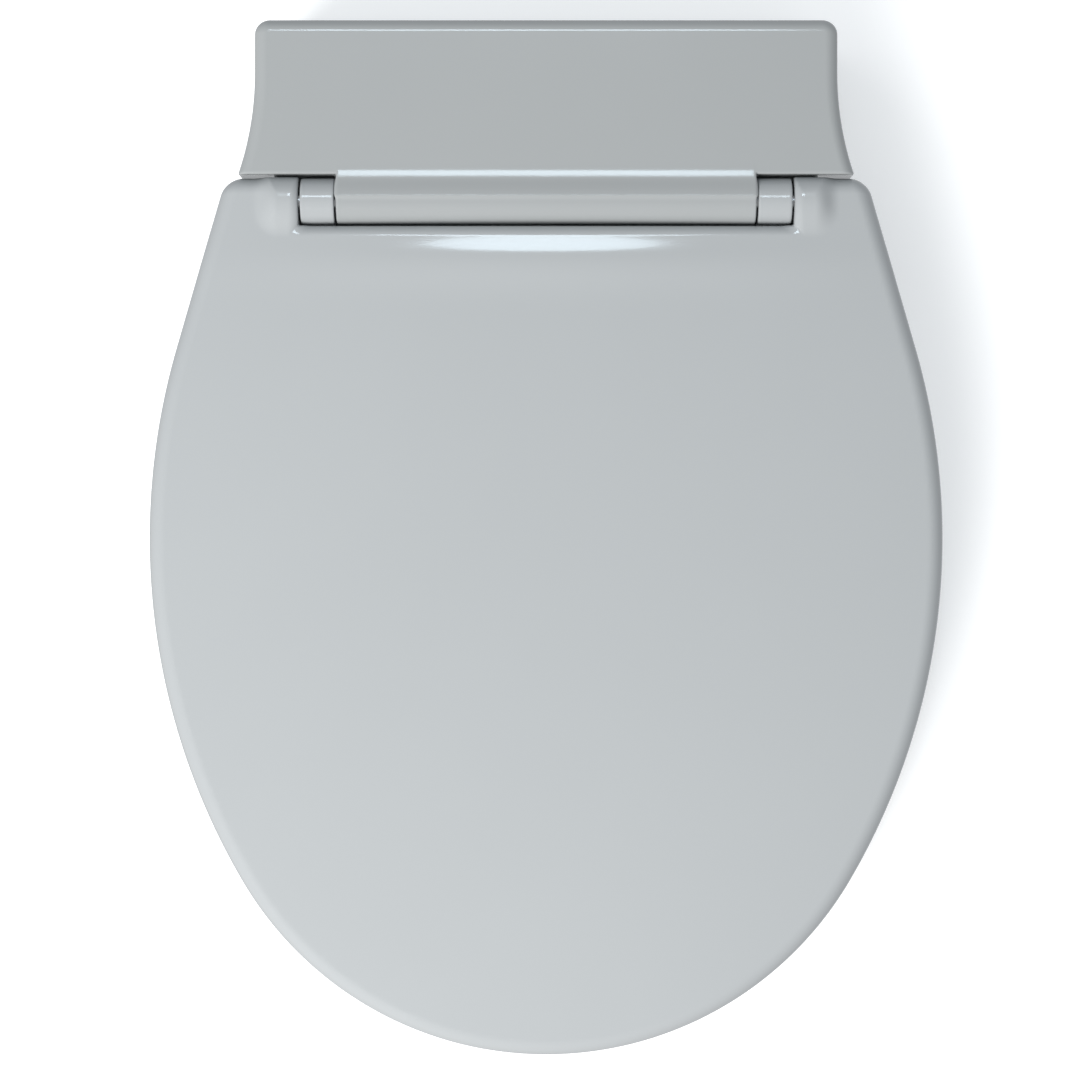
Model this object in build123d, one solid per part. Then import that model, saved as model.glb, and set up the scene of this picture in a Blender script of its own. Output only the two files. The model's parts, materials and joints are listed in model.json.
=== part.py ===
from build123d import *
import os
from math import acos, asin, cos, degrees, hypot, pi, radians, sin, sqrt, tan

# Electric bidet seat: lid and heated ring seat on a rear housing that holds the washing gear.
# Units are millimetres. X runs from the user's left to right, +Y towards the cistern, +Z up.
# The origin is midway between the two bowl fixing holes, on the plane that the object rests on.

# ---------------------------------------------------------------- driving dimensions
REAR_Y = 63.2  # back face of the rear housing
HINGE_Y = -22.4  # common hinge line of lid and seat
HINGE_Z = 70.0
HINGE_R = 11.0  # outer radius of barrel, seat ears and lid knuckles
BARREL_HALF = 99.4  # half length of the fixed hinge barrel
EAR_OUT = 116.4  # outer end of a seat ear
SIDE_GAP = 0.9  # gap along the hinge line between barrel, ear and lid

LID_HALF = 190.0  # half of the largest width
LID_WIDEST_Y = -185.5
LID_TIP_Y = -433.5
LID_SIDE_R = 328.0  # plan radius of the long side arcs
LID_TAPER = 16.5  # degrees, straight rear part of the sides
LID_REAR_Y = HINGE_Y + HINGE_R
LID_CORNER_R = 8.0
LID_WALL = 3.0
LID_EDGE_R = 6.5
CROWN_R = 3600.0
CROWN_BACK = (-34.0, 79.0)  # y, z of the crown at the notch
CROWN_FRONT = (-433.5, 48.0)  # y, z of the crown at the front tip
NOTCH_Y = -34.4
SKIRT_FRONT = (-433.5, 31.0)
SKIRT_BACK = (-22.0, 58.5)

SEAT_INSET = 5.2  # seat outline inside the lid outline
SEAT_DROP = 8.0  # seat crown below the lid crown
SEAT_WALL = 3.0
SEAT_EDGE_R = 8.0
SEAT_BASE_Z = 12.0
SEAT_REAR_Z = 50.0  # underside of the rear bridge
SEAT_REAR_Y = -38.4
SEAT_CORNER_R = 10.0
SEAT_STEP_Y = (-150.0, -125.0)  # where the underside climbs from the ring to the rear bridge
SIDE_X = 137.0  # outside this the seat's skirt reaches down past the deck
SIDE_RISE = 22.0
HOLE_Y = -250.0
HOLE_HALF = (108.0, 128.0)
SEAT_PLATE = 2.5
SEAT_BUMPERS = ((140.0, -190.0), (102.0, -350.0))

HOUSING_HALF = 138.2
HOUSING_FLARE_HALF = 146.3
HOUSING_FLARE_Y = 38.0
HOUSING_FRONT_Y = HINGE_Y + HINGE_R + 1.0
HOUSING_TOP = 79.0
HOUSING_EDGE_R = 6.0
RAMP = radians(9.4)  # slope from the crest of the barrel back to the top of the housing
BASE_Z = 1.0
CASE_WALL = 2.6
SEAM_Z = 24.0
DECK_HALF = 132.0
DECK_FRONT_Y = -106.0
DECK_TOP = 45.0
DECK_CORNER_R = 28.0
HUMP = (23.0, -60.0, -25.0, 48.4)  # half width, y range and top of the hump over the nozzles
CHANNEL = (102.0, -30.0, 13.0)  # half width, front y and height of the slide-on channel
RECESS = (104.6, 133.0, 26.0, 16.0)  # inner x, outer x, front y and height of the two corner recesses
INLET_POS = (-118.8, 43.0)
SPIGOT_R = 10.475

NOZZLE_X = 11.0
NOZZLE_R = 6.0
NOZZLE_TILT = 10.0  # degrees, nose down
NOZZLE_TIP = (-97.0, 27.0)  # y, z of the tip face, retracted
NOZZLE_LENGTH = 128.0
FEED_R = 3.3
PINION_AT = 20.0  # distance of the pinion behind the retracted tip
GEAR_MODULE = 0.8
GEAR_TEETH = 16
GEAR_WIDTH = 4.0
ADDENDUM = 0.56
DEDENDUM = 0.8
BACKLASH = 0.14
PRESSURE = 25.0
PITCH_R = GEAR_MODULE * GEAR_TEETH / 2
PITCH_LINE = NOZZLE_X + NOZZLE_R + 1.2  # x of the rack pitch line
PINION_X = PITCH_LINE + PITCH_R

PLATE_HALF = (98.0, 27.0)
PLATE_T = 4.0
BOLT_HALF_SPAN = 77.5
SLOT_LENGTH = 28.0
SLOT_R = 4.5
LATCH_Y = -20.0
SCREWS = ((88.0, -97.0), (112.0, -60.0), (122.0, 4.0))


# ---------------------------------------------------------------- helpers
def save(name, *shapes):
    """Writes one node from one or more solids."""
    solids = [s for shape in shapes for s in shape.solids()]
    export_step(solids[0] if len(solids) == 1 else Compound(solids), f"parts/{name}.step")


def block(x0, x1, y0, y1, z0, z1):
    """Axis-aligned block between two corners."""
    return Pos((x0 + x1) / 2, (y0 + y1) / 2, (z0 + z1) / 2) * Box(x1 - x0, y1 - y0, z1 - z0)


def rod_x(x0, x1, y, z, r):
    """Round bar along X."""
    return Pos((x0 + x1) / 2, y, z) * Rot(0, 90, 0) * Cylinder(r, x1 - x0)


def rod_y(x, y0, y1, z, r):
    """Round bar along Y."""
    return Pos(x, (y0 + y1) / 2, z) * Rot(90, 0, 0) * Cylinder(r, y1 - y0)


def rod_z(x, y, z0, z1, r):
    """Round bar along Z."""
    return Pos(x, y, (z0 + z1) / 2) * Cylinder(r, z1 - z0)


def profile_x(face, x0, x1):
    """A face drawn in (y, z) on the YZ plane, extruded from x0 to x1."""
    return Pos(x0, 0, 0) * extrude(Plane.YZ * face, x1 - x0)


def polygon(*points):
    return make_face(Polyline(*points, close=True))


def both_sides(shape):
    """The shape and its mirror image across the middle plane."""
    return [shape, mirror(shape, Plane.YZ)]


# ---------------------------------------------------------------- lid and seat outlines
LID_REACH = LID_WIDEST_Y - LID_TIP_Y
LID_FRONT_R = (LID_SIDE_R**2 - (LID_SIDE_R - LID_HALF) ** 2 - LID_REACH**2) / (2 * (LID_SIDE_R - LID_REACH))
LID_FRONT_Y = LID_TIP_Y + LID_FRONT_R
SIDE_CENTRE_X = LID_HALF - LID_SIDE_R
JOIN_ANGLE = degrees(asin((LID_WIDEST_Y - LID_FRONT_Y) / (LID_SIDE_R - LID_FRONT_R)))


def egg_outline(inset, rear_y, corner_r):
    """Plan of lid or seat: a front arc, two side arcs, two straight tapers and a straight rear edge."""
    side_r = LID_SIDE_R - inset
    front_r = LID_FRONT_R - inset
    right = CenterArc((SIDE_CENTRE_X, LID_WIDEST_Y), side_r, -JOIN_ANGLE, JOIN_ANGLE + LID_TAPER)
    left = CenterArc((-SIDE_CENTRE_X, LID_WIDEST_Y), side_r, 180 - LID_TAPER, LID_TAPER + JOIN_ANGLE)
    front = CenterArc((0, LID_FRONT_Y), front_r, 180 + JOIN_ANGLE, 180 - 2 * JOIN_ANGLE)
    top = right @ 1
    run = rear_y - top.Y
    rear_x = top.X - run * tan(radians(LID_TAPER))
    taper_r = Line((top.X, top.Y), (rear_x, rear_y))
    rear = Line((rear_x, rear_y), (-rear_x, rear_y))
    taper_l = Line((-rear_x, rear_y), (-top.X, top.Y))
    edges = [front.edge(), right.edge(), taper_r.edge(), rear.edge(), taper_l.edge(), left.edge()]
    face = make_face(Wire(edges))
    corners = [v for v in face.vertices() if v.Y > rear_y - 0.01]
    return fillet(corners, corner_r) if corner_r else face


def crown_centre():
    """Centre (y, z) of the big sphere that forms the crowned top."""
    (y0, z0), (y1, z1) = CROWN_FRONT, CROWN_BACK
    length = hypot(y1 - y0, z1 - z0)
    down = sqrt(CROWN_R**2 - length**2 / 4)
    return (y0 + y1) / 2 + (z1 - z0) / length * down, (z0 + z1) / 2 - (y1 - y0) / length * down


CROWN_Y, CROWN_Z = crown_centre()


def crown_height(x, y, drop=0.0):
    """Height of the crowned surface over a plan point."""
    return CROWN_Z + sqrt((CROWN_R - drop) ** 2 - x * x - (y - CROWN_Y) ** 2)


def crowned(face, low, drop):
    """The outline extruded up to the crowned surface, which lies drop below the lid's own top."""
    prism = Pos(0, 0, low) * extrude(face, 120 - low)
    return prism & (Pos(0, CROWN_Y, CROWN_Z) * Sphere(CROWN_R - drop))


def under_skirt(extra=0.0):
    """Everything below the sloping lower edge of the lid."""
    (y0, z0), (y1, z1) = SKIRT_FRONT, SKIRT_BACK
    slope = (z1 - z0) / (y1 - y0)
    ya, yb = -470.0, 40.0
    za, zb = z0 + slope * (ya - y0) + extra, z0 + slope * (yb - y0) + extra
    return profile_x(polygon((ya, -20), (yb, -20), (yb, zb), (ya, za)), -230, 230)


def top_edges(shape, drop, margin=0.6):
    """Edges of a crowned solid that lie on the crowned surface."""
    found = []
    for e in shape.edges():
        m = e.position_at(0.5)
        if abs(m.Z - crown_height(m.X, m.Y, drop)) < margin:
            found.append(e)
    return found


# ---------------------------------------------------------------- lid
KNUCKLE_IN = EAR_OUT + SIDE_GAP
KNUCKLE_OUT = 131.0
SHAFT_R = 4.0


def make_lid():
    outer = crowned(egg_outline(0, LID_REAR_Y, LID_CORNER_R), 20, 0)
    outer = fillet(top_edges(outer, 0), LID_EDGE_R)
    outer -= under_skirt()
    # the notch: a hollow that hugs the hinge barrel, straight below the hinge line
    outer -= block(-KNUCKLE_IN, KNUCKLE_IN, NOTCH_Y, 0, 0, HINGE_Z)
    outer -= rod_x(-KNUCKLE_IN, KNUCKLE_IN, HINGE_Y, HINGE_Z, HINGE_Y - NOTCH_Y)
    outer -= block(-KNUCKLE_IN, KNUCKLE_IN, HINGE_Y, 0, 0, 120)
    bevel = polygon((-37.2, 79.4), (-34.0, 73.0), (HINGE_Y, 73.0), (HINGE_Y, 90.0), (-37.2, 90.0))
    outer -= profile_x(bevel, -KNUCKLE_IN, KNUCKLE_IN)
    inner = crowned(egg_outline(LID_WALL, LID_REAR_Y - LID_WALL, LID_CORNER_R - LID_WALL), 10, LID_WALL)
    inner = fillet(top_edges(inner, LID_WALL), LID_EDGE_R - LID_WALL)
    inner -= block(-KNUCKLE_OUT, KNUCKLE_OUT, NOTCH_Y - LID_WALL, 0, 0, 120)
    shell = outer - inner
    for side in (1, -1):
        # room for the seat's hinge arm under the notch edge
        arm = sorted((side * (BARREL_HALF + SIDE_GAP - 1.2), side * (EAR_OUT + 1.2)))
        shell -= block(*arm, NOTCH_Y - LID_WALL - 1, NOTCH_Y + 1, 0, HINGE_Z)
    # the notch wall stays short, so that it clears the seat's rear edge when the lid turns
    shell -= block(-KNUCKLE_OUT, KNUCKLE_OUT, NOTCH_Y - LID_WALL - 1, HINGE_Y, 0, HINGE_Z - 4)
    for side, bore in ((1, SHAFT_R + 0.05), (-1, SHAFT_R)):
        knuckle = rod_x(*sorted((side * KNUCKLE_IN, side * KNUCKLE_OUT)), HINGE_Y, HINGE_Z, HINGE_R)
        ends = knuckle.edges().group_by(Axis.X)
        shell += fillet(ends[-1] if side > 0 else ends[0], 4.0)
        hollow = sorted((side * (KNUCKLE_IN - 1), side * (KNUCKLE_OUT - 3)))
        shell -= rod_x(*hollow, HINGE_Y, HINGE_Z, bore)
    # shallow stiffening ribs across the inside
    for y in (-120, -210, -300, -380):
        half = 120 if y > -350 else 80
        rib = block(-half, half, y - 1, y + 1, 30, 100) & inner
        low = Pos(0, CROWN_Y, CROWN_Z) * Sphere(CROWN_R - LID_WALL - 2.0)
        shell += rib - low
    return shell


LID_BUMPERS = ((118, -150), (95, -352))
BUMPER_R = 7.0


def make_lid_bumpers():
    """Four soft pads that carry the closed lid on the seat."""
    pads = []
    for x, y in LID_BUMPERS:
        top = crown_height(x, y, LID_WALL) - 0.1
        pad = rod_z(x, y, top - 4.4, top + 2, BUMPER_R)
        pad &= Pos(0, CROWN_Y, CROWN_Z) * Sphere(CROWN_R - LID_WALL - 0.02)
        pad -= Pos(0, CROWN_Y, CROWN_Z) * Sphere(CROWN_R - SEAT_DROP + 0.25)
        pads += both_sides(pad)
    return pads


# ---------------------------------------------------------------- seat
def near_hole(edge):
    m = edge.position_at(0.5)
    return hypot(m.X, m.Y - HOLE_Y) < 134


def below_step(lift):
    """Everything below the seat's underside, which climbs over the deck but stays low outside it."""
    y0, y1 = SEAT_STEP_Y
    shift = lift * 0.6
    middle = profile_x(
        polygon((-480, -20), (40, -20), (40, SEAT_REAR_Z + lift), (y1 - shift, SEAT_REAR_Z + lift),
                (y0 - shift, SEAT_BASE_Z + lift), (-480, SEAT_BASE_Z + lift)), -SIDE_X - lift, SIDE_X + lift)
    rear_z = SEAT_BASE_Z + SIDE_RISE
    sides = profile_x(
        polygon((-480, -20), (40, -20), (40, rear_z + lift), (SEAT_REAR_Y, rear_z + lift),
                (y0, SEAT_BASE_Z + lift), (-480, SEAT_BASE_Z + lift)), -230, 230)
    return middle + sides


def seat_form(inset, drop, edge_r, hole_edge_r):
    """Crowned ring without its underside; a smaller copy makes the cavity."""
    corner_r = SEAT_CORNER_R - inset
    form = crowned(egg_outline(SEAT_INSET + inset, SEAT_REAR_Y - inset, corner_r), -10, SEAT_DROP + drop)
    hole = Pos(0, HOLE_Y, -20) * Ellipse(HOLE_HALF[0] + inset, HOLE_HALF[1] + inset)
    form -= extrude(hole, 200)
    rim = [e for e in top_edges(form, SEAT_DROP + drop) if not near_hole(e)]
    form = fillet(rim, edge_r)
    lip = [e for e in top_edges(form, SEAT_DROP + drop) if near_hole(e)]
    return fillet(lip, hole_edge_r)


def make_seat():
    outer = seat_form(0, 0, SEAT_EDGE_R, 7.0)
    cavity = seat_form(SEAT_WALL, SEAT_WALL, SEAT_EDGE_R - SEAT_WALL, 4.0)
    y0, y1 = SEAT_STEP_Y
    # the rear bridge and the step keep their own floor, the ring is closed by the bottom plate
    rear_zone = block(-230, 230, y0 - 3, 40, -20, 120)
    top = outer - below_step(0) - (cavity - (below_step(SEAT_WALL) & rear_zone))
    for side, bore in ((-1, SHAFT_R + 0.05), (1, SHAFT_R)):
        x0, x1 = sorted((side * (BARREL_HALF + SIDE_GAP), side * EAR_OUT))
        top += rod_x(x0, x1, HINGE_Y, HINGE_Z, HINGE_R)
        top += block(x0, x1, SEAT_REAR_Y - 1.5, HINGE_Y, HINGE_Z - HINGE_R, HINGE_Z - 1.5)
        top -= rod_x(x0 - 1, x1 + 1, HINGE_Y, HINGE_Z, bore)
    bottom = seat_form(SEAT_WALL + 0.02, SEAT_WALL, 3.0, 3.0)
    bottom &= block(-230, 230, -480, y0 - 3.2, SEAT_BASE_Z + 0.4, SEAT_BASE_Z + 0.4 + SEAT_PLATE)
    pad = crowned(egg_outline(SEAT_INSET + 18, -60, 0), 0, SEAT_DROP + SEAT_WALL)
    pad &= block(-230, 230, -480, y0 - 8, -50, 150)
    pad -= Pos(0, CROWN_Y, CROWN_Z) * Sphere(CROWN_R - SEAT_DROP - SEAT_WALL - 0.7)
    pad -= extrude(Pos(0, HOLE_Y, 0) * Ellipse(HOLE_HALF[0] + 12, HOLE_HALF[1] + 12), 200)
    return top, bottom, pad


def make_seat_bumpers():
    pads = []
    for x, y in SEAT_BUMPERS:
        pad = rod_z(x, y, 0, SEAT_BASE_Z + 0.4, 9)
        pads += both_sides(fillet(pad.edges().group_by(Axis.Z)[0], 2.0))
    return pads


def make_seat_sensor():
    """Small module under the rear bridge that feels a sitting person."""
    body = block(48, 74, -86, -66, 60, 75)
    return body & (Pos(0, CROWN_Y, CROWN_Z) * Sphere(CROWN_R - SEAT_DROP - SEAT_WALL))


# ---------------------------------------------------------------- rear housing
def housing_plan():
    """Plan of the rear block: straight sides that flare out towards the lid."""
    length = HOUSING_FLARE_Y - HOUSING_FRONT_Y
    spread = HOUSING_FLARE_HALF - HOUSING_HALF
    r = (length**2 + spread**2) / (2 * spread)
    turn = degrees(asin(length / r))
    right = CenterArc((HOUSING_HALF + r, HOUSING_FLARE_Y), r, 180, turn)
    left = CenterArc((-HOUSING_HALF - r, HOUSING_FLARE_Y), r, 0, -turn)
    rear = Polyline((HOUSING_HALF, HOUSING_FLARE_Y), (HOUSING_HALF, REAR_Y), (-HOUSING_HALF, REAR_Y),
                    (-HOUSING_HALF, HOUSING_FLARE_Y))
    front = Line(left @ 1, right @ 1)
    face = make_face(Wire(rear.edges() + [right.edge(), left.edge(), front.edge()]))
    return fillet([v for v in face.vertices() if v.Y > REAR_Y - 0.01], 7.0)


def housing_form(inset):
    """Rear block, hinge barrel and the low deck under the seat, as one solid."""
    top = HOUSING_TOP - inset
    rear = Pos(0, 0, BASE_Z + inset) * extrude(offset(housing_plan(), -inset) if inset else housing_plan(),
                                               top - BASE_Z - inset)
    high = rear.edges().group_by(Axis.Z)[-1]
    behind = [e for e in high if e.position_at(0.5).Y > HOUSING_FRONT_Y + inset + 0.5]
    rear = fillet(behind, HOUSING_EDGE_R - inset)
    barrel = rod_x(-BARREL_HALF + inset, BARREL_HALF - inset, HINGE_Y, HINGE_Z, HINGE_R - inset)
    half = BARREL_HALF - inset
    neck = block(-half, half, HINGE_Y - 8 + inset, HOUSING_FRONT_Y + 8, DECK_TOP - 8, top)
    neck -= block(-200, 200, HINGE_Y - 40, HINGE_Y + 4, HINGE_Z, 120)
    r = HINGE_R - inset
    ramp = polygon((HINGE_Y, HINGE_Z), (HINGE_Y + r * sin(RAMP), HINGE_Z + r * cos(RAMP)),
                   (HOUSING_FRONT_Y + 1, top), (HOUSING_FRONT_Y + 1, HINGE_Z))
    neck += profile_x(ramp, -BARREL_HALF + inset, BARREL_HALF - inset)
    deck = Rectangle(2 * (DECK_HALF - inset), HOUSING_FRONT_Y + 8 - DECK_FRONT_Y - inset)
    deck = fillet(deck.vertices().group_by(Axis.Y)[0], DECK_CORNER_R - inset)
    deck = Pos(0, (HOUSING_FRONT_Y + 8 + DECK_FRONT_Y + inset) / 2, BASE_Z + inset) * extrude(
        deck, DECK_TOP - BASE_Z - 2 * inset)
    x, y0, y1, z = HUMP
    hump = block(-x + inset, x - inset, y0 + inset, y1, DECK_TOP - 8, z - inset)
    return rear + neck + deck + hump + barrel


def window(x0, x1, z0, z1):
    """Cutter through the front wall of the deck."""
    return block(x0, x1, DECK_FRONT_Y - 1, DECK_FRONT_Y + CASE_WALL + 0.01, z0, z1)


BEZEL = (-30.0, 76.0, 8.0, 41.0)
BUTTON_SPOTS = (-68.0, -54.0)
LENS_Y = -42.5
PANEL = (-76.0, -36.0, 26.0, 38.0)


def make_case():
    shell = housing_form(0) - housing_form(CASE_WALL)
    half, front, height = CHANNEL
    x0, x1, ry, rz = RECESS
    walls = block(-half - CASE_WALL, half + CASE_WALL, front - CASE_WALL, REAR_Y - 1, BASE_Z, height + 2.0)
    hollows = block(-half, half, front, REAR_Y + 1, -1, height)
    for a, b in ((x0, x1), (-x1, -x0)):
        walls += block(a - CASE_WALL, b + 1, ry - CASE_WALL, REAR_Y - 1, BASE_Z, rz + CASE_WALL)
        hollows += block(a, b, ry, REAR_Y + 1, -1, rz)
    shell = shell + walls - hollows
    shell -= window(*BEZEL)
    # openings in the right wall: release button low, side button panel higher
    shell -= block(DECK_HALF - 4, DECK_HALF + 1, LATCH_Y - 8.3, LATCH_Y + 8.3, 4.7, 13.3)
    shell -= block(half - 1, half + CASE_WALL + 1, LATCH_Y - 2.2, LATCH_Y + 2.2, 7.2, 10.8)
    py0, py1, pz0, pz1 = PANEL
    shell -= block(DECK_HALF - 4, DECK_HALF + 1, py0, py1, pz0, pz1)
    # hinge shaft holes in both ends of the barrel
    shell -= rod_x(-BARREL_HALF - 1, BARREL_HALF + 1, HINGE_Y, HINGE_Z, SHAFT_R + 1.0)
    for x, y in SCREWS:
        for side in (1, -1):
            ceiling = (HOUSING_TOP if y > HOUSING_FRONT_Y else DECK_TOP) - CASE_WALL
            shell += rod_z(side * x, y, BASE_Z + CASE_WALL, ceiling, 4.0)
            shell -= rod_z(side * x, y, BASE_Z - 1, 36, 1.7)
            shell -= rod_z(side * x, y, BASE_Z - 1, BASE_Z + 1.6, 3.3)
    above = block(-200, 200, -200, 200, SEAM_Z, 200)
    cover = shell & above
    tray = shell - above
    # rails that hold the bowl plate: lips below its edges and ribs above them
    for side in (1, -1):
        lip = sorted((side * 94.6, side * (half + 1)))
        rib = sorted((side * 93.0, side * 97.0))
        tray += block(*lip, front + 1, REAR_Y - 3, 0.3, 1.4)
        tray += block(*rib, front + 1, REAR_Y - 3, PLATE_T + 0.1, height + 0.5)
    tray -= block(92.5, 97.5, LATCH_Y - 3, LATCH_Y + 3, 6.5, 11.5)
    return cover, tray


def make_bezel():
    """Front plate round the nozzle window and the dryer outlet."""
    x0, x1, z0, z1 = BEZEL
    plate = block(x0, x1, DECK_FRONT_Y, DECK_FRONT_Y + CASE_WALL, z0, z1)
    plate = fillet(plate.edges().filter_by(Axis.X).group_by(Axis.Y)[0], 1.0)
    plate -= window(-22, 22, 12.0, 36.0)
    plate -= window(43, 71, 14.0, 34.0)
    for a, b in ((-26.0, -23.6), (23.6, 26.0), (40.0, 42.0), (72.0, 74.0)):
        plate += block(a, b, DECK_FRONT_Y - 4.2, DECK_FRONT_Y + 1, 36.6, 40.2)
        plate -= rod_x(a - 1, b + 1, DECK_FRONT_Y - 2.6, 38.4, 1.0)
    return plate


FLAP_AXIS = (DECK_FRONT_Y - 2.6, 38.4)


def make_flap(x0, x1, z0, cuts):
    """Hanging flap with a hinge barrel; cuts are the x places of the nozzle slots."""
    y, z = FLAP_AXIS
    flap = block(x0, x1, y - 0.9, y + 0.9, z0, z) + rod_x(x0, x1, y, z, 1.7)
    flap = fillet(flap.edges().filter_by(Axis.Y).group_by(Axis.Z)[0], 2.0)
    flap -= rod_x(x0 - 1, x1 + 1, y, z, 1.05)
    for x in cuts:
        flap -= rod_y(x, y - 3, y + 3, 27.0, 8.4)
        flap -= block(x - 8.4, x + 8.4, y - 3, y + 3, 0, 27.0)
    return flap


def make_pins():
    guard_pin = rod_x(-26, 26, *FLAP_AXIS, 1.0)
    flap_pin = rod_x(40, 74, *FLAP_AXIS, 1.0)
    return guard_pin, flap_pin


def make_base_pads():
    pads = []
    for x, y in ((116.0, -84.0), (116.0, -20.0), (50.0, -92.0)):
        pads += both_sides(rod_z(x, y, 0, BASE_Z, 8.0))
    return pads


def make_screws():
    screws = []
    for x, y in SCREWS:
        screw = rod_z(x, y, BASE_Z + 0.2, BASE_Z + 1.6, 3.0) + rod_z(x, y, BASE_Z + 1, 35.5, 1.7)
        cross = block(x - 2, x + 2, y - 0.4, y + 0.4, 0, BASE_Z + 0.9)
        cross += block(x - 0.4, x + 0.4, y - 2, y + 2, 0, BASE_Z + 0.9)
        screws += both_sides(screw - cross)
    return screws


# ---------------------------------------------------------------- bowl plate and its latch
def make_mounting_plate():
    hx, hy = PLATE_HALF
    plate = fillet(block(-hx, hx, -hy, hy, 0, PLATE_T).edges().filter_by(Axis.Z), 3.0)
    for side in (1, -1):
        plate -= block(*sorted((side * 94.0, side * 99)), -hy - 1, hy + 1, -1, 1.6)
        plate -= extrude(Pos(side * BOLT_HALF_SPAN, 0, -1) * SlotOverall(SLOT_LENGTH, 2 * SLOT_R), 10)
        plate -= extrude(Pos(side * 46, 0, PLATE_T - 1.5) * RectangleRounded(24, 40, 4), 10)
    plate -= extrude(Pos(0, 0, PLATE_T - 1.5) * RectangleRounded(56, 40, 4), 10)
    plate -= block(86.5, 91.5, LATCH_Y - 4, LATCH_Y + 4, -1, 9)
    return plate


def make_latch():
    tongue = block(87, 91, LATCH_Y - 3, LATCH_Y + 3, 2.2, CHANNEL[2])
    tongue += block(87, 91, LATCH_Y - 3, LATCH_Y + 20, CHANNEL[2] - 1.6, CHANNEL[2])
    button = block(DECK_HALF - 3, DECK_HALF + 2.6, LATCH_Y - 8, LATCH_Y + 8, 5, 13)
    button = fillet(button.edges().filter_by(Axis.X), 2.0)
    button += block(DECK_HALF - 5.6, DECK_HALF - 2.7, LATCH_Y - 11, LATCH_Y + 11, 4, 14)
    button += block(95.2, DECK_HALF - 4, LATCH_Y - 2, LATCH_Y + 2, 7.5, 10.5)
    coil = Helix(3.0, 20.2, 3.4)
    wire = Plane(coil @ 0, z_dir=coil % 0) * Circle(0.45)
    spring = sweep(wire, path=coil)
    spring = Pos(CHANNEL[0] + CASE_WALL + 0.5, LATCH_Y, 9) * Rot(0, 90, 0) * spring
    return tongue, button, spring


# ---------------------------------------------------------------- side buttons
def make_side_panel():
    py0, py1, pz0, pz1 = PANEL
    zc = (pz0 + pz1) / 2
    panel = block(DECK_HALF - 1.6, DECK_HALF + 0.4, py0, py1, pz0, pz1)
    buttons = []
    for y in BUTTON_SPOTS:
        panel -= rod_x(DECK_HALF - 5, DECK_HALF + 5, y, zc, 4.3)
        cap = rod_x(DECK_HALF - 2.6, DECK_HALF + 2.0, y, zc, 4.1)
        cap = fillet(cap.edges().group_by(Axis.X)[-1], 0.8)
        cap += rod_x(DECK_HALF - 3.4, DECK_HALF - 1.7, y, zc, 5.0)
        buttons.append(cap)
    lens = rod_x(DECK_HALF - 3, DECK_HALF + 0.9, LENS_Y, zc, 3.4)
    lens = fillet(lens.edges().group_by(Axis.X)[-1], 0.5)
    panel -= rod_x(DECK_HALF - 5, DECK_HALF + 5, LENS_Y, zc, 3.4)
    board = block(DECK_HALF - 10.2, DECK_HALF - 8.6, py0 + 1, py1 - 1, pz0 - 0.5, pz1 + 1)
    for y in BUTTON_SPOTS:
        board += rod_x(DECK_HALF - 8.7, DECK_HALF - 5.2, y, zc, 2.2)
    board += block(DECK_HALF - 8.7, DECK_HALF - 3.0, LENS_Y - 2, LENS_Y + 2, zc - 2, zc + 2)
    board += block(DECK_HALF - 8.7, DECK_HALF - 1.6, py0 + 1, py0 + 3, zc - 3, zc + 3)
    board += block(DECK_HALF - 8.7, DECK_HALF - 1.6, py1 - 3, py1 - 1, zc - 3, zc + 3)
    return panel, buttons, lens, board


# ---------------------------------------------------------------- hinge hardware
DAMPER_X = (60.0, 96.8)


def make_hinge_parts():
    """Two soft-close dampers in the barrel, and one shaft out of each end."""
    d0, d1 = DAMPER_X
    damper = rod_x(d0, d1, HINGE_Y, HINGE_Z, HINGE_R - CASE_WALL - 0.02)
    damper += rod_x(d0 - 6, d0, HINGE_Y, HINGE_Z, 5.5)
    damper -= rod_x(d0 + 4, d1 + 1, HINGE_Y, HINGE_Z, SHAFT_R + 0.05)
    shaft = rod_x(d0 + 5, KNUCKLE_OUT - 4, HINGE_Y, HINGE_Z, SHAFT_R)
    bush = rod_x(BARREL_HALF - CASE_WALL, BARREL_HALF, HINGE_Y, HINGE_Z, SHAFT_R + 1.0)
    bush -= rod_x(BARREL_HALF - 4, BARREL_HALF + 1, HINGE_Y, HINGE_Z, SHAFT_R + 0.05)
    return damper, shaft, bush


# ---------------------------------------------------------------- nozzles
NOZZLE_FRAME = Pos(0, *NOZZLE_TIP) * Rot(NOZZLE_TILT, 0, 0)


def tooth_half_angle(r):
    """Half the angle that one pinion tooth covers at radius r."""
    base = PITCH_R * cos(radians(PRESSURE))
    thickness = pi * GEAR_MODULE / 2 - BACKLASH
    at_r = acos(min(1.0, base / r))
    at_pitch = radians(PRESSURE)
    return thickness / (2 * PITCH_R) + (tan(at_pitch) - at_pitch) - (tan(at_r) - at_r)


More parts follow.
